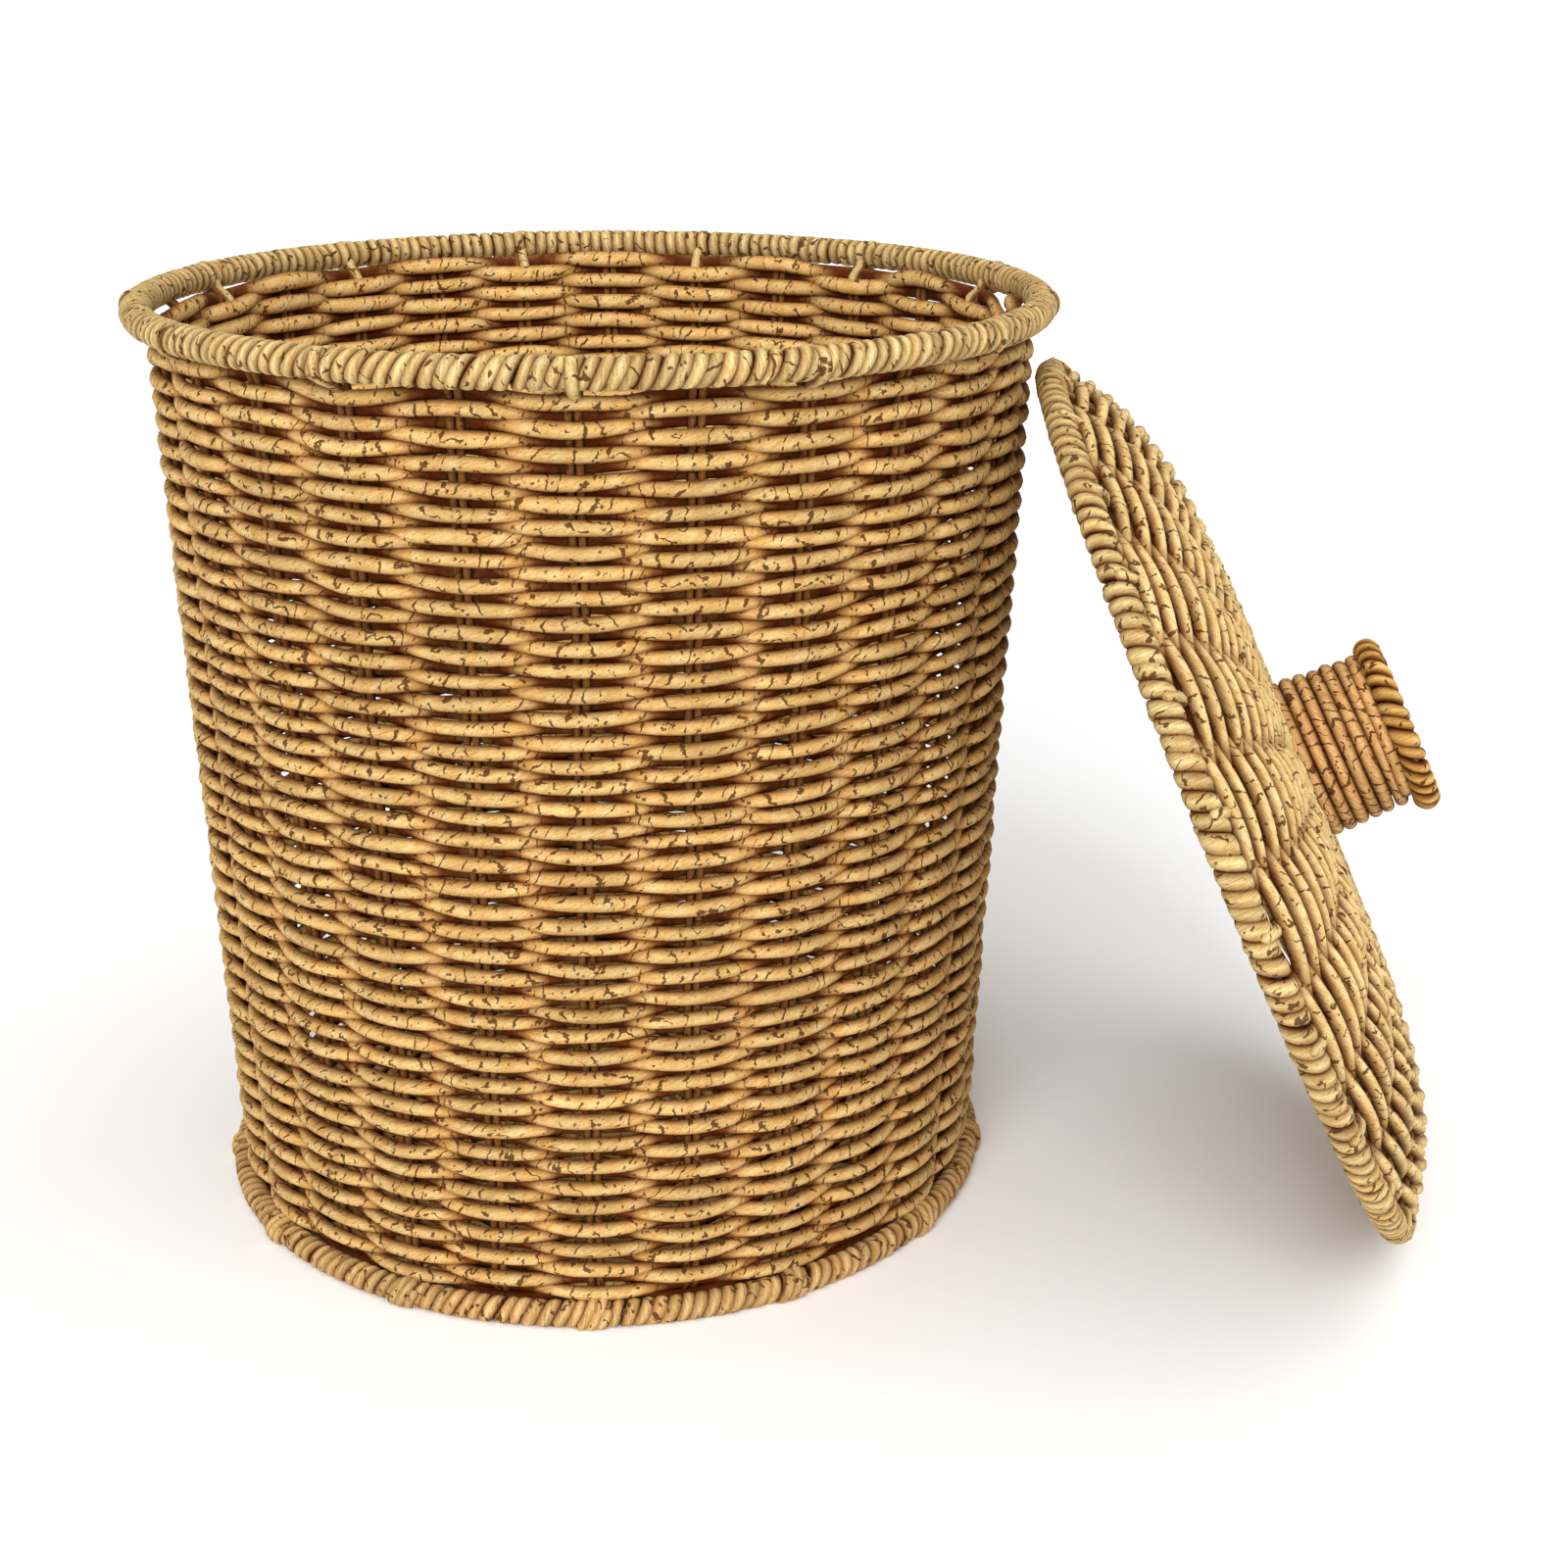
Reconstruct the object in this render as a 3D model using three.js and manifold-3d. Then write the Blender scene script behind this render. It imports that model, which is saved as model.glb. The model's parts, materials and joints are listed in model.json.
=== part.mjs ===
// Round wastebasket woven of twisted paper cord on wire hoops, with its lid off and leaning against the wall.
// Millimetres, +Z up. The basket's axis is the Z axis, the floor is z = 0, and the lid leans on the +X side.
import * as THREE from "three";
import { mergeVertices } from "three/addons/utils/BufferGeometryUtils.js";
import Module from "manifold-3d";

// Driving dimensions of the basket
const basketHeight = 274; // floor to the top of the rim
const weaveThickness = 9.6; // cord, stake and cord again, crest to crest
const wallTopRadius = 129.4; // outside of the weave at its top row
const wallFootRadius = 115.4; // outside of the weave at its lowest row
const stakeCount = 26;
const stakeTurn = THREE.MathUtils.degToRad(2); // turn of the whole basket about its axis
const strandDiameter = 2.2; // a stake is two such strands side by side
const strandGap = 0.8; // furrow between the two strands
const rimThickness = 9.1; // across the rim's wrapping
const rimOverhang = 5.8; // from the wall's centre line out to the rim's
const rimGap = 1.6; // open band between the rim and the top row
const footThickness = 7.8; // across the foot ring's wrapping
const footOverhang = 3.9; // from the wall's centre line out to the foot ring's
const footFlat = 0.5; // how deep the foot ring is pressed flat on the floor
const baseLift = 0.8; // underside of the base above the floor
const baseCentre = 27; // radius where the stakes start at the middle of the base
const stakeBend = 7; // size of the stake's turn from the base into the wall
const stakeBendStart = 0.25; // share of that size by which the turn cuts the corner
const hoopWire = 3; // wire of the three large hoops
const tieCord = 3; // cord of the ties that lash the top row to the rim
const tieDepth = 4.6; // how far below the top row a tie passes through the wall
const tieSeat = 0.34; // where a tie meets the rim's wrapping, as a share of its thickness

// Driving dimensions of the lid
const lidOverlap = 3.8; // lid ring's centre line outside the rim's
const lidThickness = 8.8; // across the lid ring's wrapping
const lidGap = 1.6; // open band between the lid's ring and its outer row
const domeHeight = 26; // ring's centre plane to the top of the dome
const domeFullness = 5.6; // exponent of the dome's curve: higher is flatter with a sharper shoulder
const lidLean = THREE.MathUtils.degToRad(24.4); // the knob's axis above the horizontal
const lidTurn = THREE.MathUtils.degToRad(-4.7); // direction in which the knob points, from +X
const lidSpin = THREE.MathUtils.degToRad(-3.5); // turn of the lid's stakes about its own axis
const lidBearing = THREE.MathUtils.degToRad(-8.1); // direction of the lid's centre, from +X

// Driving dimensions of the knob
const stemFootRadius = 20.3; // gathered strands where the stem meets the dome
const stemTopRadius = 18.6; // gathered strands under the flange
const stemWall = 3.4; // thickness of the gathered strands
const stemCap = 1; // how far the strands rise above the middle of the flange
const stemTurns = 4.8; // turns of cord round the stem
const stemPitch = 4.1; // rise of one turn
const stemCord = 3.65; // cord of the stem's winding
const flangeOverhang = 4.4; // from the gathered strands out to the middle of the flange's hoop
const flangeWire = 2.4; // wire of the flange's hoop
const flangeTurns = 28; // turns of cord round the flange's hoop
const flangeCord = 2.5; // thickness of that cord, pressed flat
const flangeCordWidth = 3.7; // its width along the hoop
const capThickness = 2.4; // woven disc that closes the knob
const capCrown = 1.2; // how far the disc swells in the middle
const capShoulder = 0.7; // share of its radius at which the swelling is nearly full

// Fits
const clearance = 0.3; // left between pieces that touch
const slotPlay = 0.4; // each side of a stake in the opening of a wrapping

// Facets
const roundSteps = 2 * stakeCount; // round the large rings and walls
const hoopSides = 5;
const wrapSides = 8;
const boreSides = 5;
const domeSteps = 6;
const [loopSteps, loopSides] = [24, 6]; // a turn round the stem
const [curlSteps, curlSides] = [8, 5]; // a turn round the flange's hoop
const leanSteps = 720; // points of the lid's ring that are tried against the wall
const halvings = 50; // of an interval that is searched for a place

// Places that follow from the sizes
const halfWeave = weaveThickness / 2;
const footRadius = wallFootRadius - halfWeave + footOverhang;
const footHeight = footThickness / 2 - footFlat;
const wallFoot = footThickness - footFlat + clearance;
const rimRadius = wallTopRadius - halfWeave + rimOverhang;
const rimHeight = basketHeight - rimThickness / 2;
const wallTop = basketHeight - rimThickness - rimGap;
const lidRadius = rimRadius + lidOverlap;
const domeMiddle = domeHeight - halfWeave;
const stemHeight = stemTurns * stemPitch;
const stemFoot = domeHeight + clearance;
const flangeRadius = stemTopRadius + flangeOverhang;
const flangeReach = flangeWire / 2 + clearance + flangeCord;
const flangeHeight = stemFoot + stemHeight + stemCord + clearance + flangeReach;
const stemTop = flangeHeight + stemCap;
const wallSlope = (wallTopRadius - wallFootRadius) / (wallTop - wallFoot);
const wallMiddle = (z) => wallFootRadius - halfWeave + wallSlope * (z - wallFoot);

const wasm = await Module();
wasm.setup();

const cordFinish = new THREE.MeshStandardMaterial({ color: 0xc99a55, roughness: 0.85, metalness: 0 });
const wrapFinish = new THREE.MeshStandardMaterial({ color: 0xd6ab66, roughness: 0.85, metalness: 0 });
const strandFinish = new THREE.MeshStandardMaterial({ color: 0x8c5c2c, roughness: 0.9, metalness: 0 });
const wireFinish = new THREE.MeshStandardMaterial({ color: 0x6b625a, roughness: 0.45, metalness: 0.9 });

// Keeps only the positions of a geometry and joins its shared points.
function bare(geometry) {
  geometry.deleteAttribute("normal");
  geometry.deleteAttribute("uv");
  return mergeVertices(geometry, 1e-4);
}

function toSolid(geometry) {
  const clean = bare(geometry);
  return new wasm.Manifold(
    new wasm.Mesh({
      numProp: 3,
      vertProperties: new Float32Array(clean.attributes.position.array),
      triVerts: new Uint32Array(clean.index.array),
    }),
  );
}

function toGeometry(solid) {
  const mesh = solid.getMesh();
  const geometry = new THREE.BufferGeometry();
  geometry.setAttribute("position", new THREE.BufferAttribute(mesh.vertProperties, 3));
  geometry.setIndex(new THREE.BufferAttribute(mesh.triVerts, 1));
  geometry.computeVertexNormals();
  return geometry;
}

function signedVolume(points, index) {
  const [a, b, c] = [new THREE.Vector3(), new THREE.Vector3(), new THREE.Vector3()];
  let sum = 0;
  for (let i = 0; i < index.length; i += 3) {
    [a, b, c].forEach((v, k) => v.copy(points[index[i + k]]));
    sum += a.dot(b.cross(c));
  }
  return sum / 6;
}

// A solid skinned over rings of points, capped at both ends, or joined end to end.
function loft(rings, joined = false) {
  const points = rings.flat();
  const sides = rings[0].length;
  const index = [];
  const spans = joined ? rings.length : rings.length - 1;
  for (let i = 0; i < spans; i++) {
    const [near, far] = [i * sides, ((i + 1) % rings.length) * sides];
    for (let k = 0; k < sides; k++) {
      const next = (k + 1) % sides;
      index.push(near + k, far + k, far + next, near + k, far + next, near + next);
    }
  }
  if (!joined) {
    const last = (rings.length - 1) * sides;
    for (let k = 1; k < sides - 1; k++) {
      index.push(0, k, k + 1, last, last + k + 1, last + k);
    }
  }
  if (signedVolume(points, index) < 0) index.reverse();
  const geometry = new THREE.BufferGeometry().setFromPoints(points);
  geometry.setIndex(index);
  geometry.computeVertexNormals();
  return geometry;
}

// A solid turned round the Z axis. Its outline, in radius and height, runs anticlockwise.
function turned(outline) {
  const closed = outline[0].x > 0 ? [...outline, outline[0]] : outline;
  return toSolid(new THREE.LatheGeometry(closed, roundSteps).rotateX(Math.PI / 2));
}

function named(name, shape, finish) {
  const mesh = new THREE.Mesh(shape.isBufferGeometry ? shape : toGeometry(shape), finish);
  mesh.name = name;
  return mesh;
}

const polar = (centre, radius, angle) =>
  new THREE.Vector2(centre.x + radius * Math.cos(angle), centre.y + radius * Math.sin(angle));

const arc = (centre, radius, from, to, count) =>
  Array.from({ length: count }, (_, i) => polar(centre, radius, from + ((to - from) * i) / (count - 1)));

// The part of a closed outline that lies at or above a height.
function cutFlat(outline, height) {
  return outline.flatMap((point, i) => {
    const next = outline[(i + 1) % outline.length];
    const kept = point.y >= height ? [point] : [];
    if (point.y >= height !== next.y >= height) {
      kept.push(point.clone().lerp(next, (height - point.y) / (next.y - point.y)));
    }
    return kept;
  });
}

// Section of a wrapping round a hoop: a ring with an opening towards the stakes.
function wrapOutline(centre, thickness, opening, towards) {
  const outer = thickness / 2;
  const inner = (hoopWire / 2 + clearance) / Math.cos(Math.PI / (boreSides - 1));
  const outerHalf = Math.asin(opening / 2 / outer);
  const innerHalf = Math.asin(opening / 2 / inner);
  const turn = 2 * Math.PI;
  return [
    ...arc(centre, outer, towards + outerHalf, towards + turn - outerHalf, wrapSides),
    ...arc(centre, inner, towards + turn - innerHalf, towards + innerHalf, boreSides),
  ];
}

function hoop(radius, wire, height, steps = roundSteps) {
  return new THREE.TorusGeometry(radius, wire / 2, hoopSides, steps).translate(0, 0, height);
}

// Corners of a section, in halves of its width and thickness
const sixSided = [new THREE.Vector2(1, 0), new THREE.Vector2(0.5, 1), new THREE.Vector2(-0.5, 1)];
const fourSided = [new THREE.Vector2(1, 1), new THREE.Vector2(-1, 1)];

// A strip along a route given in radius and height at one angle round the axis.
function strip(route, width, thickness, angle, half = sixSided, sideways = 0) {
  const across = new THREE.Vector3(-Math.sin(angle), Math.cos(angle), 0);
  const out = new THREE.Vector3(Math.cos(angle), Math.sin(angle), 0);
  const section = [...half, ...half.map((corner) => corner.clone().negate())];
  const rings = route.map((point, i) => {
    const before = route[Math.max(i - 1, 0)];
    const after = route[Math.min(i + 1, route.length - 1)];
    const inTo = point.clone().sub(before).normalize();
    const outOf = after.clone().sub(point).normalize();
    const along = inTo.clone().add(outOf).normalize();
    const stretch = i && i < route.length - 1 ? 1 / Math.max(along.dot(outOf), 0.5) : 1;
    const normal = new THREE.Vector2(-along.y, along.x);
    return section.map((corner) => {
      const lift = (stretch * corner.y * thickness) / 2;
      const side = (corner.x * width) / 2 + sideways;
      return out
        .clone()
        .multiplyScalar(point.x + normal.x * lift)
        .addScaledVector(across, side)
        .setZ(point.y + normal.y * lift);
    });
  });
  return loft(rings);
}

// A cord wound along a centre line. The section stands on a normal and the line's own direction.
function wound(line, normals, width, thickness, sides) {
  const rings = line.map((point, i) => {
    const along = line[Math.min(i + 1, line.length - 1)].clone().sub(line[Math.max(i - 1, 0)]).normalize();
    const side = along.clone().cross(normals[i]).normalize();
    const normal = side.clone().cross(along).normalize();
    return Array.from({ length: sides }, (_, k) => {
      const turn = (2 * Math.PI * k) / sides;
      return point
        .clone()
        .addScaledVector(normal, (Math.cos(turn) * thickness) / 2)
        .addScaledVector(side, (Math.sin(turn) * width) / 2);
    });
  });
  return loft(rings);
}

// Runs both ends of a line straight on by one cord's width.
function withStraightEnds(line, normals, length) {
  const first = line[0].clone().sub(line[1]).setLength(length).add(line[0]);
  const last = line.at(-1).clone().sub(line.at(-2)).setLength(length).add(line.at(-1));
  return [
    [first, ...line, last],
    [normals[0], ...normals, normals.at(-1)],
  ];
}

// Least gap between neighbouring turns, measured on the points of the centre line, half a turn on and more.
function leastGap(line, stepsPerTurn, width) {
  let least = Infinity;
  for (let i = 0; i < line.length; i++) {
    for (let k = i + stepsPerTurn / 2 + 1; k < line.length; k++) {
      least = Math.min(least, line[i].distanceTo(line[k]) - width);
    }
  }
  return least;
}

// Stakes: two strands side by side that start in the base, turn up into the wall and end in the rim
const stakeWidth = 2 * strandDiameter + strandGap;
const baseMiddle = baseLift + halfWeave;
const rimCentre = new THREE.Vector2(rimRadius, rimHeight);
const wallTopPoint = new THREE.Vector2(wallMiddle(wallTop), wallTop + clearance);
const rimTowards = Math.atan2(wallTopPoint.y - rimCentre.y, wallTopPoint.x - rimCentre.x);
const stakeCorner = wallMiddle(baseMiddle);
const stakeRoute = [
  new THREE.Vector2(baseCentre, baseMiddle),
  new THREE.Vector2(stakeCorner - stakeBend, baseMiddle),
  new THREE.Vector2(stakeCorner - stakeBend * stakeBendStart, baseMiddle + stakeBend * stakeBendStart),
  new THREE.Vector2(wallMiddle(baseMiddle + stakeBend), baseMiddle + stakeBend),
  wallTopPoint,
  polar(rimCentre, hoopWire / 2 + clearance, rimTowards),
];
const stakeAngles = Array.from({ length: stakeCount }, (_, i) => (2 * Math.PI * (i + 0.5)) / stakeCount);
const [slotWidth, slotDepth] = [stakeWidth + 2 * clearance, strandDiameter + 2 * clearance];
const stakeSlot = (angle) => strip(stakeRoute, slotWidth, slotDepth, angle, fourSided);
const stakeSlots = stakeAngles.map((angle) => toSolid(stakeSlot(angle)));

// Ties: loops of the rim's own cord round the top row, beside every second stake
const tieSideways = (stakeWidth + tieCord) / 2 + 3 * clearance;
const tieHalf = halfWeave + clearance + tieCord / 2;
const tieRoute = [
  polar(rimCentre, rimThickness * tieSeat, -Math.PI / 4),
  new THREE.Vector2(wallMiddle(wallTop) + tieHalf, wallTop),
  new THREE.Vector2(wallMiddle(wallTop - tieDepth) + tieHalf, wallTop - tieDepth),
  new THREE.Vector2(wallMiddle(wallTop - tieDepth) - tieHalf, wallTop - tieDepth),
  new THREE.Vector2(wallMiddle(wallTop) - tieHalf, wallTop),
  polar(rimCentre, rimThickness * tieSeat, rimTowards - Math.PI / 4),
];
const tieAngles = stakeAngles.filter((_, i) => i % 2 === 1);
const tie = (angle, cord) => strip(tieRoute, cord, cord, angle, fourSided, tieSideways);
const tiesOf = (cord) => tieAngles.map((angle) => toSolid(tie(angle, cord)));

function basket() {
  const group = new THREE.Group();
  const stakeOpening = strandDiameter + 2 * slotPlay;

  const wall = turned([
    new THREE.Vector2(wallMiddle(wallFoot) - halfWeave, wallFoot),
    new THREE.Vector2(wallMiddle(wallFoot) + halfWeave, wallFoot),
    new THREE.Vector2(wallMiddle(wallTop) + halfWeave, wallTop),
    new THREE.Vector2(wallMiddle(wallTop) - halfWeave, wallTop),
  ]);
  const passages = wasm.Manifold.union([...stakeSlots, ...tiesOf(tieCord + 2 * clearance)]);
  group.add(named("wall_weave", wall.subtract(passages), cordFinish));

  const baseRadius = footRadius - footThickness / 2 - clearance;
  const baseInner = wallMiddle(wallFoot) - halfWeave - clearance;
  const base = turned([
    new THREE.Vector2(0, baseLift),
    new THREE.Vector2(baseRadius, baseLift),
    new THREE.Vector2(baseRadius, wallFoot - clearance),
    new THREE.Vector2(baseInner, wallFoot - clearance),
    new THREE.Vector2(baseInner, baseLift + weaveThickness),
    new THREE.Vector2(0, baseLift + weaveThickness),
  ]);
  const baseSlots = wasm.Manifold.union(stakeSlots);
  group.add(named("base_weave", base.subtract(baseSlots), cordFinish));

  stakeAngles.forEach((angle, i) => {
    const name = "stake_" + String(i + 1).padStart(2, "0");
    group.add(named(name, strip(stakeRoute, stakeWidth, strandDiameter, angle), strandFinish));
  });

  const rimOutline = wrapOutline(rimCentre, rimThickness, stakeOpening, rimTowards);
  const rimWrap = turned(rimOutline).add(wasm.Manifold.union(tiesOf(tieCord)));
  group.add(named("rim_wrap", rimWrap, wrapFinish));
  group.add(named("rim_hoop", hoop(rimRadius, hoopWire, rimHeight), wireFinish));

  const footCentre = new THREE.Vector2(footRadius, footHeight);
  const footOutline = wrapOutline(footCentre, footThickness, 1, (Math.PI * 3) / 4);
  group.add(named("foot_wrap", turned(cutFlat(footOutline, 0)), wrapFinish));
  group.add(named("foot_hoop", hoop(footRadius, hoopWire, footHeight), wireFinish));
  group.rotation.z = stakeTurn;
  return group;
}

// Height of the dome's middle surface above the ring's centre plane
const domeAt = (radius) => domeMiddle * (1 - (radius / lidRadius) ** domeFullness);

// Outermost radius of the lid's weave, which leaves the open band to the ring
function domeEdge() {
  let [low, high] = [lidRadius / 2, lidRadius];
  for (let i = 0; i < halvings; i++) {
    const middle = (low + high) / 2;
    const away = Math.hypot(lidRadius - middle, domeAt(middle));
    [low, high] = away > lidThickness / 2 + lidGap ? [middle, high] : [low, middle];
  }
  return low;
}

function domeOutline(edge) {
  const flatTo = stemFootRadius + stemCord;
  const radii = Array.from({ length: domeSteps }, (_, i) => {
    const share = Math.sqrt(i / (domeSteps - 1));
    return flatTo + (edge - flatTo) * share;
  });
  const offset = (radius, side) => {
    const slope = (-domeMiddle * domeFullness * (radius / lidRadius) ** (domeFullness - 1)) / lidRadius;
    const length = Math.hypot(1, slope);
    const [x, y] = [(-slope / length) * side, side / length];
    return new THREE.Vector2(radius + x * halfWeave, domeAt(radius) + y * halfWeave);
  };
  return [
    new THREE.Vector2(0, domeMiddle - halfWeave),
    ...radii.map((radius) => offset(radius, -1)),
    ...radii.map((radius) => offset(radius, 1)).reverse(),
    new THREE.Vector2(0, domeHeight),
  ];
}

function lidCover(group) {
  const edge = domeEdge();
  const ringCentre = new THREE.Vector2(lidRadius, 0);
  const towards = Math.atan2(domeAt(edge), edge - lidRadius);
  const outline = wrapOutline(ringCentre, lidThickness, strandDiameter + 2 * slotPlay, towards);
  group.add(named("lid_wrap", turned(outline), wrapFinish));
  group.add(named("lid_hoop", hoop(lidRadius, hoopWire, 0), wireFinish));

  const stubRoute = [
    new THREE.Vector2(edge - weaveThickness / 3, domeAt(edge - weaveThickness / 3)),
    new THREE.Vector2(edge, domeAt(edge)),
    polar(ringCentre, hoopWire / 2 + clearance, towards),
  ];
  const stubAngles = stakeAngles.map((angle) => angle + lidSpin);
  const stubs = stubAngles.map((angle) => toSolid(strip(stubRoute, stakeWidth, strandDiameter, angle)));
  const dome = turned(domeOutline(edge)).add(wasm.Manifold.union(stubs));
  group.add(named("lid_weave", dome, cordFinish));
}

// The stem's core: strands gathered side by side into a fluted tube
function stemCore() {
  const flutes = 2 * stakeCount;
  const ring = (radius, height, depth) =>
    Array.from({ length: flutes }, (_, i) => {
      const angle = (2 * Math.PI * i) / flutes;
      const reach = radius - (i % 2 ? depth : 0);
      return new THREE.Vector3(reach * Math.cos(angle), reach * Math.sin(angle), height);
    });
  const depth = strandDiameter / 4;
  return loft(
    [
      ring(stemFootRadius, stemFoot, depth),
      ring(stemTopRadius, stemTop, depth),
      ring(stemTopRadius - stemWall, stemTop, 0),
      ring(stemFootRadius - stemWall, stemFoot, 0),
    ],
    true,
  );
}

function stemWinding() {
  const steps = Math.round(loopSteps * stemTurns);
  const line = [];
  const normals = [];
  for (let i = 0; i <= steps; i++) {
    const share = i / steps;
    const angle = share * stemTurns * 2 * Math.PI;
    const normal = new THREE.Vector3(Math.cos(angle), Math.sin(angle), 0);
    const height = stemFoot + stemCord / 2 + share * stemHeight;
    const core = THREE.MathUtils.mapLinear(height, stemFoot, stemTop, stemFootRadius, stemTopRadius);
    line.push(normal.clone().multiplyScalar(core + clearance + stemCord / 2).setZ(height));
    normals.push(normal);
  }
  const gap = leastGap(line, loopSteps, stemCord);
  console.log("stem winding: least gap to itself", gap.toFixed(2), "mm");
  return wound(...withStraightEnds(line, normals, stemCord), stemCord, stemCord, loopSides);
}

function flangeWinding() {
  const whole = flangeTurns * curlSteps;
  const steps = whole - curlSteps;
  const line = [];
  const normals = [];
  for (let i = 0; i <= steps; i++) {
    const round = (2 * Math.PI * i) / whole;
    const turn = flangeTurns * round;
    const out = new THREE.Vector3(Math.cos(round), Math.sin(round), 0);
    const normal = out.clone().multiplyScalar(Math.cos(turn)).setZ(Math.sin(turn));
    const reach = flangeWire / 2 + clearance + flangeCord / 2;
    const centre = out.clone().multiplyScalar(flangeRadius).setZ(flangeHeight);
    line.push(centre.addScaledVector(normal, reach));
    normals.push(normal);
  }
  const gap = leastGap(line, curlSteps, flangeCordWidth);
  console.log("flange winding: least gap to itself", gap.toFixed(2), "mm");
  return wound(...withStraightEnds(line, normals, flangeCord), flangeCordWidth, flangeCord, curlSides);
}

function knob(group) {
  group.add(named("knob_core", stemCore(), strandFinish));
  group.add(named("knob_winding", stemWinding(), cordFinish));
  group.add(named("flange_winding", flangeWinding(), wrapFinish));
  const flangeHoop = hoop(flangeRadius, flangeWire, flangeHeight, stakeCount);
  group.add(named("flange_hoop", flangeHoop, wireFinish));

  const capFoot = stemTop + clearance;
  const capRadius = flangeRadius - flangeReach - clearance;
  const capTop = capFoot + capThickness;
  const cap = turned([
    new THREE.Vector2(0, capFoot),
    new THREE.Vector2(capRadius, capFoot),
    new THREE.Vector2(capRadius, capTop - capCrown),
    new THREE.Vector2(capRadius * capShoulder, capTop - capCrown * (1 - capShoulder)),
    new THREE.Vector2(0, capTop),
  ]);
  group.add(named("knob_cap", cap, cordFinish));
}

// Turns the lid's own axis from upright into the knob's direction
const lidTilt = new THREE.Euler(0, Math.PI / 2 - lidLean, lidTurn, "ZYX");

// Distance of the leaning lid's centre from the basket's axis, with the ring just clear of the wall or the rim
function leanDistance(height) {
  const ring = Array.from({ length: leanSteps }, (_, i) => {
    const angle = (2 * Math.PI * i) / leanSteps;
    const point = new THREE.Vector3(lidRadius * Math.cos(angle), lidRadius * Math.sin(angle), 0);
    return point.applyEuler(lidTilt);
  });
  const tilt = Math.hypot(1, wallSlope);
  const gapAt = (distance) => {
    const [x, y] = [distance * Math.cos(lidBearing), distance * Math.sin(lidBearing)];
    const gaps = ring.map((point) => {
      const z = point.z + height;
      const reach = Math.hypot(point.x + x, point.y + y);
      const toWall = (reach - wallMiddle(Math.min(z, wallTop)) - halfWeave) / tilt;
      const toRim = Math.hypot(reach - rimRadius, z - rimHeight) - rimThickness / 2;
      return Math.min(toWall, toRim);
    });
    return Math.min(...gaps) - lidThickness / 2;
  };
  let [low, high] = [wallFootRadius, 3 * lidRadius];
  for (let i = 0; i < halvings; i++) {
    const middle = (low + high) / 2;
    [low, high] = gapAt(middle) < clearance ? [middle, high] : [low, middle];
  }
  return high;
}

function lid() {
  const group = new THREE.Group();
  lidCover(group);
  knob(group);
  const height = lidRadius * Math.cos(lidLean) + lidThickness / 2;
  const distance = leanDistance(height);
  group.rotation.copy(lidTilt);
  group.position.set(distance * Math.cos(lidBearing), distance * Math.sin(lidBearing), height);
  return group;
}

const wastebasket = new THREE.Group();
wastebasket.add(basket(), lid());

export default wastebasket;
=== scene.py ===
# Visual model of the round wastebasket of woven paper cord, with its lid leaning against the wall.
# Sizes are in millimetres and become metres where a mesh is made.
# The basket's axis is Z and the floor is z = 0.
import json
import math

import bpy
import numpy as np
from mathutils import Matrix, Vector


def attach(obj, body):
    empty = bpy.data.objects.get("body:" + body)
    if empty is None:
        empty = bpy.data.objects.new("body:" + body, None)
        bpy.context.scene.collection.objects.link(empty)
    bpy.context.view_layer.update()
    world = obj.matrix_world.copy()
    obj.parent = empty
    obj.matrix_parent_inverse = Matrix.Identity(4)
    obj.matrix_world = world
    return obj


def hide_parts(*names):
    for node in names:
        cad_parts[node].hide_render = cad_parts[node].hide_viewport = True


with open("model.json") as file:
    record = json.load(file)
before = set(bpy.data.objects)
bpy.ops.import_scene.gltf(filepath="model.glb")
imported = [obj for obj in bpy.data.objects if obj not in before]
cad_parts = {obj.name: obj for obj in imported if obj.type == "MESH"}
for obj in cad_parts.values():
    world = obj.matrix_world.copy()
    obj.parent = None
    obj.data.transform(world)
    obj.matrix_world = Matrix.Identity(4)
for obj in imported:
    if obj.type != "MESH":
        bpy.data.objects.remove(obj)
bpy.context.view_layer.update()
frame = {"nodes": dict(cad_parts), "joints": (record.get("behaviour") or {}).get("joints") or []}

MM = 0.001

# Cords
STEPS = 8  # points on a weaving cord from one stake to the next
TWIST = 27.0  # length in which a cord's strands go once round it
WEAVE_REACH = 2.65  # from the middle of the weave to a cord's centre line
CORD_OUT, CORD_UP = 1.95, 2.15  # half thickness and half height of a weaving cord
CORD_SIDES = 10
STRAND = 1.2  # half thickness of a stake's strand
STRAND_APART = 1.25  # from the middle of a stake to each of its strands
STRAND_SIDES = 8
SIDE_CREST = 0.12  # what is left of the crest at a cord's sides, where the painted shade is deepest
TIP = 0.6  # how far a cord's end bulges, as a share of half the cord's width
CORNER_POINTS = 6  # points on a rounded corner of a route
CORNER_SHARE = 0.45  # of the runs beside a corner, how much it may take up
COIL_STEPS = 40  # points in one turn of a flat coil

# Basket
STAKES = 26
TURN = math.radians(2)  # of the whole basket about its axis
WALL_FOOT, WALL_TOP = 7.6, 263.3  # heights where the weave starts and ends
WALL_FOOT_RADIUS, WALL_TOP_RADIUS = 110.6, 124.6  # of the middle of the weave
WALL_ROWS = 79
LOW_ROWS_TALLER = 0.03  # by this share of an even row, and the top rows lower by as much
CLIMB_AT = 8  # stake at which a cord of the wall or the base starts a new row
RIM_RADIUS, RIM_HEIGHT, RIM_THICKNESS = 130.4, 269.45, 9.1
RIM_TURNS = 216
TIE_CORD = (1.05, 1.8)  # half thickness and half width
FOOT_RADIUS, FOOT_HEIGHT, FOOT_THICKNESS = 114.5, 3.4, 7.8
FOOT_TURNS = 190
LASHING_CORD = (1.25, 1.6)
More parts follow.
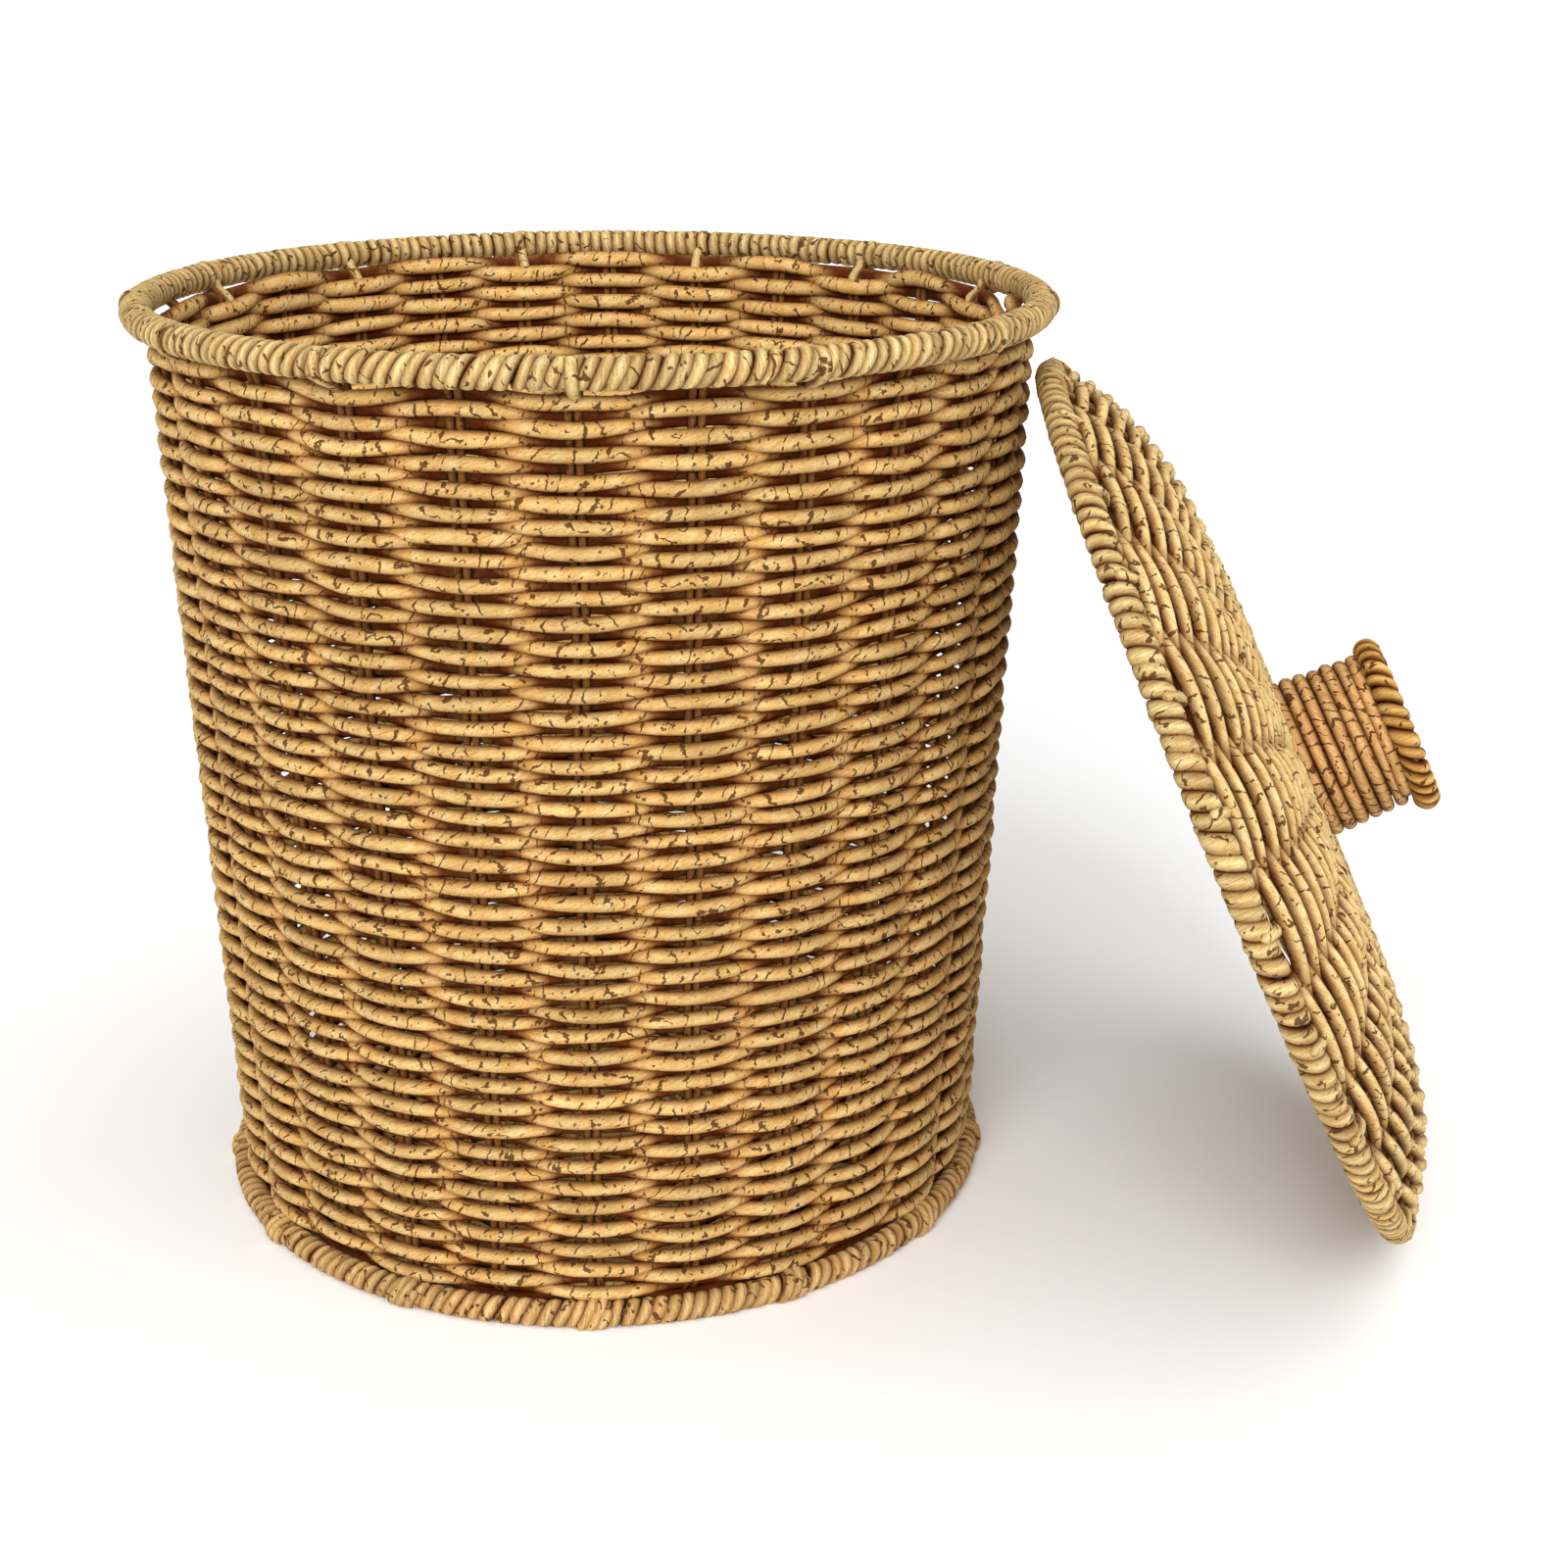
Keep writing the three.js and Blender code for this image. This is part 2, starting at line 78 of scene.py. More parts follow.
LASHING_START, LASHING_END = -0.35, 2.2  # in turns round the ring
LASHING_POINTS = 44
BASE_ROWS = 27
BASE_MIDDLE = 5.6  # height of the middle of its weave
BASE_INNER = 25.0  # radius of the coil in its middle
BASE_EDGE = 2.2  # from the wall's middle line in to the base's outer row

# Lid, in its own axes, with its ring's centre at 0
LID_RADIUS, LID_THICKNESS = 134.2, 8.8
LID_TURNS = 174
LID_TIE_CORD = (1.2, 1.7)
LID_GAP = 1.6  # open band between the ring and the outer row
LID_SPIN = math.radians(-3.5)
LID_PITCH = 3.2  # from row to row
LID_INNER = 23.5  # radius where the rows end
LID_START = -0.7  # of the outer row, from the open band
LID_CLIMB_AT = 12  # stake at which a cord of the lid starts a new row
DOME_MIDDLE, DOME_FULLNESS = 21.2, 5.6

# Knob
STEM_FOOT, STEM_CAP_FOOT = 26.3, 55.2
STEM_FOOT_RADIUS, STEM_TOP_RADIUS = 20.3, 18.6
STEM_TURNS, STEM_PITCH, STEM_CORD = 5.9, 4.1, 4.0
STEM_STEPS, STEM_SIDES = 44, 14  # points in one turn of the cord, and round the cord
FLANGE_RADIUS, FLANGE_HEIGHT = 23.0, 53.9
FLANGE_WIRE, FLANGE_CORD = 2.4, 2.5
FLANGE_TURNS = 33

# First seed of each part, which also uses the ones that follow
SEED = {
    "wall": 11,
    "rim": 60,
    "foot": 160,
    "base": 200,
    "base coil": 230,
    "lid": 300,
    "lid coil": 330,
    "lid ring": 400,
    "stakes": 500,
    "stem": 501,
    "flange": 520,
    "knob end": 540,
    "lid stakes": 700,
}

# Surroundings
FLOOR_SIZE = 60.0  # in metres
SKY_STRENGTH = 0.48
WHITE = (1.0, 1.0, 1.0, 1.0)

# Camera, worked out from the photograph's perspective
PHOTO_WIDTH, SENSOR_WIDTH = 1600, 36.0
FOCAL_PIXELS = 2464.8
CAMERA_PLACE = (55.74, -706.93, 369.96)
CAMERA_PITCH, CAMERA_ROLL = 0.277, 0.003
CAMERA_SHIFT = -0.1  # the photograph's centre of view lies above its middle


# Helpers
def smooth(x):
    x = np.clip(x, 0.0, 1.0)
    return x * x * (3 - 2 * x)


def wander(x, spread, seed, step):
    """Smooth random values along x, with the given spread and a new one at every step."""
    t = np.asarray(x, float) / step
    low = np.floor(t).astype(int)
    part = smooth(t - low)
    values = np.random.default_rng(seed).normal(0, spread, low.max() - low.min() + 2)
    low = low - low.min()
    return values[low] * (1 - part) + values[low + 1] * part


def unit(v):
    return v / np.maximum(np.linalg.norm(v, axis=-1, keepdims=True), 1e-9)


def stake_angle(k):
    """Direction of stake k from the axis. Stake 0 faces the front, and k counts towards +X."""
    return TURN + 2 * math.pi * np.asarray(k, float) / STAKES - math.pi / 2


def around(angle):
    return np.stack([np.cos(angle), np.sin(angle), 0 * angle], -1)


def out_and_side(angle):
    return around(np.array(angle)), around(np.array(angle + math.pi / 2))


def upright(points, height):
    points = np.array(points, float)
    points[..., 2] = height
    return points


def lengths_along(line):
    """Length of a line from its start to each of its points."""
    return np.concatenate([[0], np.cumsum(np.linalg.norm(np.diff(line, axis=0), axis=1))])


def set_up(profile, out, side, shift):
    """Points of a route, given in radius and height, at one angle and shifted sideways."""
    return upright(out[None] * profile[:, :1] + side[None] * shift[:, None], profile[:, 1])


def square_to(profile, out):
    """Directions square to such a route: outwards where it goes up, down where it goes out."""
    slope = unit(np.gradient(profile, axis=0))
    return out[None] * slope[:, 1:2] - np.array([0, 0, 1.0])[None] * slope[:, 0:1]


def round_section(out, section):
    """Directions from a ring's centre line, at angles that start outwards and turn upwards."""
    normal = out * np.cos(section)[:, None]
    normal[:, 2] = np.sin(section)
    return normal


def basket_middle(z):
    share = (np.asarray(z, float) - WALL_FOOT) / (WALL_TOP - WALL_FOOT)
    return WALL_FOOT_RADIUS + (WALL_TOP_RADIUS - WALL_FOOT_RADIUS) * share


class Cords:
    """One piece made of one or more cords, gathered as arrays and made into a single mesh."""

    def __init__(self, name, body, slot, replaced, place=None):
        self.name, self.body, self.slot = name, body, slot
        self.replaced, self.place = replaced, place
        self.points, self.strand, self.tone, self.crest = [], [], [], []
        self.quads, self.tris = [], []
        self.count = 0
        self.random = np.random.default_rng(sum(ord(c) * (i + 3) for i, c in enumerate(name)))

    def some(self, spread):
        return float(self.random.normal(0, spread))

    def add(
        self,
        line,
        out,
        half_out,
        half_side,
        tone,
        sides=STRAND_SIDES,
        crest=None,
        floor=None,
        crest_level=1.0,
        square=1.0,
        edge=1.1,
    ):
        """Adds a cord along a line, with its thickness along out.

        Tone is added to the cord's brightness. Crest gives how far each point stands out of the
        weave, which sets a painted highlight on the crests and painted shade in the furrows; where
        no crest is given, a fixed level stands in for it. Floor is the lowest height that the cord
        has. Square below 1 makes the section fuller than an ellipse. Edge is how far in from its
        sides the painted shade reaches.
        """
        line = np.asarray(line, float)
        n = len(line)
        along = unit(np.gradient(line, axis=0))
        out = np.broadcast_to(np.asarray(out, float), line.shape)
        side = unit(np.cross(along, out))
        out = np.cross(side, along)
        half_out = np.broadcast_to(np.asarray(half_out, float), (n,))[:, None, None]
        half_side = np.broadcast_to(np.asarray(half_side, float), (n,))[:, None, None]
        a = np.arange(sides) * 2 * math.pi / sides
        outward = (np.sign(np.cos(a)) * np.abs(np.cos(a)) ** square)[None, :, None]
        sideways = (np.sign(np.sin(a)) * np.abs(np.sin(a)) ** square)[None, :, None]
        ring = line[:, None] + out[:, None] * outward * half_out
        ring = ring + side[:, None] * sideways * half_side
        if floor is not None:
            ring[..., 2] = np.maximum(ring[..., 2], floor)

        # Each cord shows another stretch of the material
        s = (lengths_along(line) + self.random.uniform(0, 900))[:, None] + 0 * a[None]
        turn = a[None] + 2 * math.pi * s / TWIST
        mean = (half_out + half_side)[:, :, 0] / 2
        strand = np.stack([mean * np.cos(turn), mean * np.sin(turn), s], -1)
        # Painted shade towards the cord's sides, times the crest that sets the painted highlight
        # and furrow shade
        face = SIDE_CREST + (1 - SIDE_CREST) * np.abs(np.cos(a))[None] ** edge
        crest = face * (crest(ring) if crest is not None else np.full((n, 1), crest_level))
        tone = np.broadcast_to(np.asarray(tone, float).reshape(-1, 1), (n, sides))

        first = self.count
        index = first + np.arange(n * sides).reshape(n, sides)
        nxt = np.roll(index, -1, axis=1)
        self.quads.append(np.stack([index[:-1], nxt[:-1], nxt[1:], index[1:]], -1).reshape(-1, 4))
        self.points.append(ring.reshape(-1, 3))
        self.strand.append(strand.reshape(-1, 3))
        self.crest.append(crest.reshape(-1))
        self.tone.append(tone.reshape(-1))
        self.count += n * sides
        for end, way in ((0, -1), (n - 1, 1)):
            tip = line[end] + along[end] * way * TIP * float(half_side[end, 0, 0])
            if floor is not None:
                tip[2] = max(tip[2], floor)
            self.points.append(tip[None])
            self.strand.append(np.array([[0, 0, s[end, 0]]]))
            self.crest.append(np.array([crest[end].mean()]))
            self.tone.append(np.array([tone[end, 0]]))
            rim, rim_next = (index[end], nxt[end]) if way > 0 else (nxt[end], index[end])
            self.tris.append(np.stack([np.full(sides, self.count), rim, rim_next], -1))
            self.count += 1

    def make(self, material):
        points = np.concatenate(self.points)
        if self.place is not None:
            matrix, origin = self.place
            points = points @ matrix + origin
        points = points * MM
        quads, tris = np.concatenate(self.quads), np.concatenate(self.tris)
        mesh = bpy.data.meshes.new(self.name)
        mesh.vertices.add(len(points))
        mesh.vertices.foreach_set("co", points.astype(np.float32).ravel())
        corners = np.concatenate([quads.ravel(), tris.ravel()]).astype(np.int32)
        totals = np.concatenate([np.full(len(quads), 4), np.full(len(tris), 3)]).astype(np.int32)
        starts = np.concatenate([[0], np.cumsum(totals)[:-1]]).astype(np.int32)
        mesh.loops.add(len(corners))
        mesh.loops.foreach_set("vertex_index", corners)
        mesh.polygons.add(len(totals))
        mesh.polygons.foreach_set("loop_start", starts)
        mesh.polygons.foreach_set("loop_total", totals)
        mesh.polygons.foreach_set("use_smooth", np.ones(len(totals), bool))
        mesh.update(calc_edges=True)
        for name, kind, values, field in (
            ("strand", "FLOAT_VECTOR", np.concatenate(self.strand), "vector"),
            ("crest", "FLOAT", np.concatenate(self.crest), "value"),
            ("tone", "FLOAT", np.concatenate(self.tone), "value"),
        ):
            layer = mesh.attributes.new(name, kind, "POINT")
            layer.data.foreach_set(field, values.astype(np.float32).ravel())
        mesh.materials.append(material)
        obj = bpy.data.objects.new(self.name, mesh)
        bpy.context.scene.collection.objects.link(obj)
        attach(obj, self.body)
        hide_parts(*self.replaced)


# Materials
class Shader:
    """A node material under construction. Its inputs may be sockets or plain numbers."""

    def __init__(self, name):
        self.material = bpy.data.materials.new(name)
        self.material.use_nodes = True
        self.tree = self.material.node_tree
        self.tree.nodes.clear()

    def node(self, kind, inputs=(), **settings):
        made = self.tree.nodes.new(kind)
        for key, value in settings.items():
            setattr(made, key, value)
        for key, value in dict(inputs).items():
            socket = made.inputs[key]
            if isinstance(value, bpy.types.NodeSocket):
                self.tree.links.new(value, socket)
            else:
                socket.default_value = value
        return made

    def math(self, operation, a, b=0.0, clamp=False):
        made = self.node("ShaderNodeMath", {0: a, 1: b}, operation=operation, use_clamp=clamp)
        return made.outputs[0]

    def vector(self, operation, a, b):
        return self.node("ShaderNodeVectorMath", {0: a, 1: b}, operation=operation).outputs[0]

    def noise(self, coordinates, scale, detail=1.0, rough=0.5):
        settings = {"Vector": coordinates, "Scale": scale, "Detail": detail, "Roughness": rough}
        return self.node("ShaderNodeTexNoise", settings).outputs["Fac"]

    def span(self, value, low, high, to_low=0.0, to_high=1.0):
        settings = {0: value, 1: low, 2: high, 3: to_low, 4: to_high}
        made = self.node("ShaderNodeMapRange", settings, interpolation_type="SMOOTHSTEP")
        return made.outputs[0]

    def mix(self, factor, a, b, blend="MIX"):
        made = self.node("ShaderNodeMix", data_type="RGBA", blend_type=blend)
        for key, value in ((0, factor), (6, a), (7, b)):
            if isinstance(value, bpy.types.NodeSocket):
                self.tree.links.new(value, made.inputs[key])
            else:
                made.inputs[key].default_value = value
        return made.outputs[2]

    def bump(self, height, strength, depth):
        settings = {"Strength": strength, "Distance": depth * MM, "Height": height}
        return self.node("ShaderNodeBump", settings).outputs["Normal"]

    def finished(self, inputs):
        principled = self.node("ShaderNodeBsdfPrincipled", inputs)
        self.node("ShaderNodeOutputMaterial", {"Surface": principled.outputs[0]})
        return self.material


def linear(red, green, blue):
    """A colour given in the usual 0 to 255 display values."""
    shares = [v / 255 for v in (red, green, blue)]
    return (*[v / 12.92 if v <= 0.04045 else ((v + 0.055) / 1.055) ** 2.4 for v in shares], 1.0)


FURROW_SHADE = (0.17, 0.05, 0.006, 1.0)  # painted shade: what the colour is multiplied by in the deepest furrow
# Painted shade in the creases, also the colour of the dark specks
CREASE_SHADE_AND_SPECKS = linear(78, 38, 6)


def paper_cord(name, light, middle, dark, crease_and_speck_share=0.72):
    """Twisted kraft paper: mottled, with fibres along it and specks, painted shade in creases
    across it, in its furrows and at its sides, and a painted highlight on its crests.
    """
    shader = Shader(name)
    strand = shader.node("ShaderNodeAttribute", attribute_name="strand").outputs["Vector"]
    crest = shader.node("ShaderNodeAttribute", attribute_name="crest").outputs["Fac"]
    tone = shader.node("ShaderNodeAttribute", attribute_name="tone").outputs["Fac"]

    # Mottling and fibres
    patches = shader.noise(strand, 0.16, detail=3.0, rough=0.6)
    fibre_place = shader.vector("MULTIPLY", strand, (2.2, 2.2, 0.28))
    fibres = shader.noise(fibre_place, 1.0, detail=3.0, rough=0.65)
    grain = shader.noise(strand, 2.6, detail=2.0, rough=0.6)

    # Creases: bent bands across the cord, of which most are left out. Their dark colour is painted
    # shade in the paper's folds.
    noise_inputs = {"Vector": strand, "Scale": 0.45, "Detail": 1.0}
    bend = shader.node("ShaderNodeTexNoise", noise_inputs).outputs["Color"]
    bent = shader.vector("ADD", shader.vector("MULTIPLY", bend, (3.2, 3.2, 3.2)), strand)
    dot_inputs = {0: bent, 1: (0.17, 0.05, 0.19)}
    dot = shader.node("ShaderNodeVectorMath", dot_inputs, operation="DOT_PRODUCT")
    uneven = shader.math("MULTIPLY", shader.noise(strand, 0.085), 3.6)
    along = shader.math("ADD", dot.outputs["Value"], uneven)
    part = shader.math("FRACT", along)
    from_crease = shader.math("ABSOLUTE", shader.math("SUBTRACT", part, 0.5))
    crease_width = shader.span(shader.noise(strand, 0.6), 0.34, 0.66, 0.05, 0.14)
    crease_line = shader.span(shader.math("DIVIDE", from_crease, crease_width), 1.0, 0.7)
    few = 0.61 - 0.2 * crease_and_speck_share
    crease_where = shader.span(shader.noise(strand, 0.4), few, few + 0.03)
    creases = shader.math("MULTIPLY", crease_line, crease_where, True)

    # Specks
    cells = shader.node("ShaderNodeTexVoronoi", {"Vector": strand, "Scale": 0.4})
    specks = shader.span(cells.outputs["Distance"], 0.22, 0.12)
    speck_where = shader.span(shader.noise(strand, 0.21), few, few + 0.06)
    specks = shader.math("MULTIPLY", specks, speck_where)
    marks = shader.math("MAXIMUM", creases, shader.math("MULTIPLY", specks, 0.85))

    # Colour: a painted highlight on the crests, darker in the fibres and the grain, and painted
    # shade in the furrows and at the cords' sides
    # Painted highlight on the crests
    raised = shader.math("MULTIPLY", shader.math("POWER", crest, 2.0), 0.5)
    mottle_and_highlight = shader.math("ADD", shader.span(patches, 0.36, 0.66, 0.0, 0.55), raised, True)
    body = shader.mix(mottle_and_highlight, linear(*middle), linear(*light))
    body = shader.mix(shader.span(fibres, 0.42, 0.7, 0.0, 0.5), body, linear(*dark))
    body = shader.mix(shader.span(grain, 0.46, 0.74, 0.0, 0.36), body, linear(*dark))
    bright = shader.math("ADD", 1.0, tone)
    scaled = shader.node("ShaderNodeVectorMath", {0: body, "Scale": bright}, operation="SCALE")
    # Painted shade in the furrows, deeper the lower the crest
    depth = shader.math("POWER", shader.math("SUBTRACT", 1.0, crest, True), 1.1)
    furrow = shader.mix(depth, WHITE, FURROW_SHADE)
    body = shader.mix(1.0, scaled.outputs[0], furrow, "MULTIPLY")
    # Painted shade in the creases, and the dark specks
    color = shader.mix(shader.math("MULTIPLY", marks, 0.9), body, CREASE_SHADE_AND_SPECKS)

    # Relief
    height = shader.math("MULTIPLY", fibres, 0.6)
    height = shader.math("ADD", height, shader.math("MULTIPLY", patches, 0.5))
    height = shader.math("SUBTRACT", height, shader.math("MULTIPLY", marks, 0.7))
    bump = shader.bump(height, 0.7, 0.35)
    rough = shader.span(fibres, 0.3, 0.8, 0.62, 0.88)
    return shader.finished(
        {"Base Color": color, "Roughness": rough, "Normal": bump, "Specular IOR Level": 0.12}
    )


def drawn_wire(name):
    """Dull steel wire with fine drawing marks and a few dark spots."""
    shader = Shader(name)
    place = shader.node("ShaderNodeTexCoord").outputs["Object"]
    mark_place = shader.vector("MULTIPLY", place, (900.0, 900.0, 2600.0))
    marks = shader.noise(mark_place, 1.0, detail=3.0, rough=0.6)
    spots = shader.noise(place, 260.0, detail=3.0, rough=0.6)
    color = shader.mix(shader.span(marks, 0.35, 0.7), linear(112, 104, 98), linear(158, 150, 142))
    color = shader.mix(shader.span(spots, 0.56, 0.7, 0.0, 0.7), color, linear(70, 56, 46))
    bump = shader.bump(marks, 0.3, 0.1)
    rough = shader.span(spots, 0.4, 0.7, 0.38, 0.7)
    return shader.finished(
        {"Base Color": color, "Roughness": rough, "Normal": bump, "Metallic": 0.9}
    )


woven = paper_cord("woven_paper_cord", (222, 190, 128), (200, 151, 78), (144, 88, 28))
# The lid's cord is paler than the wall's: painted light for the dome, which faces up to the lights
lid_cord = paper_cord(
    "lid_paper_cord", (244, 218, 156), (216, 176, 106), (160, 108, 42), crease_and_speck_share=0.6
)
wrapping = paper_cord(
    "wrapping_paper_cord", (236, 212, 148), (196, 158, 94), (126, 82, 28), crease_and_speck_share=0.55
)
foot_cord = paper_cord(
    "foot_paper_cord", (226, 190, 128), (186, 142, 82), (122, 74, 26), crease_and_speck_share=0.5
)
flange_cord = paper_cord(
    "flange_paper_cord", (236, 196, 118), (200, 146, 68), (130, 78, 22), crease_and_speck_share=0.3
)
knob_cord = paper_cord(
    "knob_paper_cord", (232, 188, 124), (200, 150, 88), (136, 84, 34), crease_and_speck_share=1.25
)
stake_cord = paper_cord(
    "stake_paper_cord", (172, 120, 64), (140, 92, 44), (98, 56, 22), crease_and_speck_share=0.5
)
wire = drawn_wire("drawn_wire")


# Weaving
def weaver(first, last, climb_at):
    """Stake number and row along a cord that runs level for most of a turn, then climbs two rows.

    The climb takes two stakes. The cord starts six steps early, and ends on its way up from the
    last row.
    """
    turns = (last - first) // 2 + 1
    u = np.arange(-6, int((STAKES * turns - 1.25) * STEPS) + 1) / STEPS
    turn = np.maximum(np.floor(u / STAKES), 0)
    part = u - STAKES * turn
    row = first + 2 * turn + 2 * smooth((part - (STAKES - 2)) / 2)
    return climb_at + u, row


def over_and_under(k, parity):
    """1 outside at the stakes with the given parity, -1 at the others, with rather flat crests."""
    wave = np.cos(math.pi * (k - parity))
    return wave * (1.18 - 0.18 * wave * wave)


def row_height(row):
    share = (row + 0.5) / WALL_ROWS
    return WALL_FOOT + (WALL_TOP - WALL_FOOT) * (share + LOW_ROWS_TALLER * share * (1 - share))


# Crest of the wall's cords, which sets their painted highlight and the painted shade in their
# furrows
def wall_crest(ring):
    away = np.abs(np.hypot(ring[..., 0], ring[..., 1]) - basket_middle(ring[..., 2]))
    return smooth((away - 0.2) / 2.3)


def wall_weaver(name, parity):
    seed = SEED["wall"] + parity
    first, last = parity, WALL_ROWS - 1 - parity
    k, row = weaver(first, last, CLIMB_AT)
    wave = over_and_under(k, parity)
    passing = 1 - wave * wave  # 1 where the cord goes from one side of the wall to the other
    z = row_height(row)
    z = z + wander(k, 0.32, seed, 0.5)
    z = z + 0.45 * np.sin(0.47 * k + 0.6 * row) * np.sin(0.11 * row)

    # The top rows are lifted between the ties, lie lower at the front, and are thicker behind
    below_top = WALL_ROWS - 1 - row
    upper = np.exp(-0.1 * below_top)
    odd = (1 - np.cos(math.pi * k)) / 2
    towards_front = np.cos(stake_angle(k) + math.pi / 2)
    front = np.clip(towards_front, 0, 1)
    lift = np.exp(-0.3 * below_top) * (1.6 + front) * odd
    z = z + lift + upper * (1.4 - 2.9 * front) - 0.6 * np.exp(-0.5 * row)
    z = z + 0.08 * wave * towards_front

    reach = WEAVE_REACH - 0.5 * upper - 0.6 * np.exp(-0.7 * row)
    reach = reach + wander(k, 0.14, seed + 10, 1.0)
    radius = basket_middle(z) + reach * wave
    out = around(stake_angle(k))
    line = upright(out * radius[:, None], z)
    size = 1 + wander(k, 0.055, seed + 20, 0.7)
    half_up = (CORD_UP - 0.14 * passing - 0.06 * wave + 0.5 * upper * (1 - front)) * size
    half_out = (CORD_OUT - 0.1 * passing) * size
    piece = Cords(name, "basket", "woven_cord", ["wall_weave"])
    # Besides a random tone, the cord is brighter the further it passes inside: painted light for
    # the basket's inside
    tone = wander(k, 0.07, seed + 30, 1.3) + 0.17 * (1 - wave)
    piece.add(line, out, half_out, half_up, tone, CORD_SIDES, wall_crest)
    piece.make(woven)


wall_weaver("wall_weaver_a", 0)
wall_weaver("wall_weaver_b", 1)


# Stakes
def bent_line(points, spacing, radius):
    """Evenly spaced points along straight runs whose corners are rounded."""
    points = np.asarray(points, float)
    path = [points[0]]
    for before, here, after in zip(points, points[1:], points[2:]):
        one, two = unit(before - here), unit(after - here)
        runs = np.linalg.norm(before - here), np.linalg.norm(after - here)
        reach = min(radius, CORNER_SHARE * min(runs))
        for t in np.linspace(0, 1, CORNER_POINTS):
            a, b = here + one * reach, here + two * reach
            path.append(a * (1 - t) ** 2 + here * 2 * t * (1 - t) + b * t * t)
    path.append(points[-1])
    path = np.array(path)
    length = lengths_along(path)
    where = np.linspace(0, length[-1], max(4, int(length[-1] / spacing)))
    return np.stack([np.interp(where, length, path[:, i]) for i in range(path.shape[1])], -1)


FIRST_STAKE = 7  # stake_01 in the solids is the first one past +X
corner = basket_middle(BASE_MIDDLE)  # radius where the base meets the wall
stake_profile = bent_line(
    [
        [BASE_INNER + 2, BASE_MIDDLE],
        [corner - 1, BASE_MIDDLE],
        [basket_middle(BASE_MIDDLE + 7), BASE_MIDDLE + 7],
        [WALL_TOP_RADIUS, WALL_TOP],
        [RIM_RADIUS - 1.6, RIM_HEIGHT - 2.4],
    ],
    spacing=4.0,
    radius=6.0,
)


def strands_apart(radius, start, least):
    """From the middle of a stake to its strands, which come closer together towards the axis."""
    return STRAND_APART * np.clip((radius - start) / 30, least, 1)


def stake(i):
    name = f"stake_{i + 1:02d}"
    piece = Cords(f"{name}_strands", "basket", "stake_cord", [name])
    out, side = out_and_side(stake_angle(i + FIRST_STAKE))
    radius, z = stake_profile[:, 0], stake_profile[:, 1]
    sway = wander(z, 0.35, SEED["stakes"] + i, 34.0)
    normal = square_to(stake_profile, out)
    apart = strands_apart(radius, 8, 0.5)
    for hand in (-1, 1):
        line = set_up(stake_profile, out, side, hand * apart + sway)
        # A fixed crest of 0.65: some painted shade and less painted highlight on the stakes'
        # strands
        piece.add(line, normal, STRAND, STRAND, tone=piece.some(0.06), crest_level=0.65)
    piece.make(stake_cord)


for i in range(STAKES):
    stake(i)


# Wrapped rings
# Crest of a ring's wraps, which sets their painted highlight and the painted shade between them
def wrap_crest(radius, height, low, high):
    def crest(ring):
        away = np.hypot(np.hypot(ring[..., 0], ring[..., 1]) - radius, ring[..., 2] - height)
        return smooth((away - low) / (high - low))

    return crest


def ring_wrap(
    piece,
    radius,
    height,
    thickness,
    turns,
    slant,
    cord,
    seed,
    wild,
    steps=16,
    sides=CORD_SIDES,
    flat=None,
    square=0.78,
):
    """Cord wound round a ring: each turn leans along the ring by slant, some more than others.

    Cord gives the cord's half thickness and half width, wild says how uneven it lies, and flat is
    its lowest height.
    """
    t = np.arange(turns * steps + 1) / steps
    half_out, half_side = cord
    lean = slant * (1 + wander(t, 0.32, seed, 1.5))
    section = 2 * math.pi * t
    drift = wander(t, 0.42 * wild, seed + 1, 1.0) + wander(t, 0.5 * wild, seed + 2, 4.0)
    angle = 2 * math.pi * t / turns + (lean * np.sin(section) + drift) / radius
    thick = half_out * (1 + wander(t, 0.08, seed + 5, 0.8))
    reach = thickness / 2 - thick - np.abs(wander(t, 0.22 * wild, seed + 3, 0.5))
    out = around(angle)
    normal = round_section(out, section)
    line = upright(out * radius, height) + normal * reach[:, None]
    width = half_side * (1 + wander(t, 0.12 * wild, seed + 4, 0.8))
    tone = wander(t, 0.07, seed + 6, 1.0)
    crest = wrap_crest(radius, height, thickness / 2 - half_out, thickness / 2)
    piece.add(line, normal, thick, width, tone, sides, crest, flat, square=square, edge=2.6)


rim = Cords("rim_wrapping", "basket", "wrapping_cord", ["rim_wrap"])
ring_wrap(
    rim,
    RIM_RADIUS,
    RIM_HEIGHT,
    RIM_THICKNESS,
    RIM_TURNS,
    slant=0.95,
    cord=(1.5, 2.0),
    seed=SEED["rim"],
    wild=0.55,
)
rim.make(wrapping)


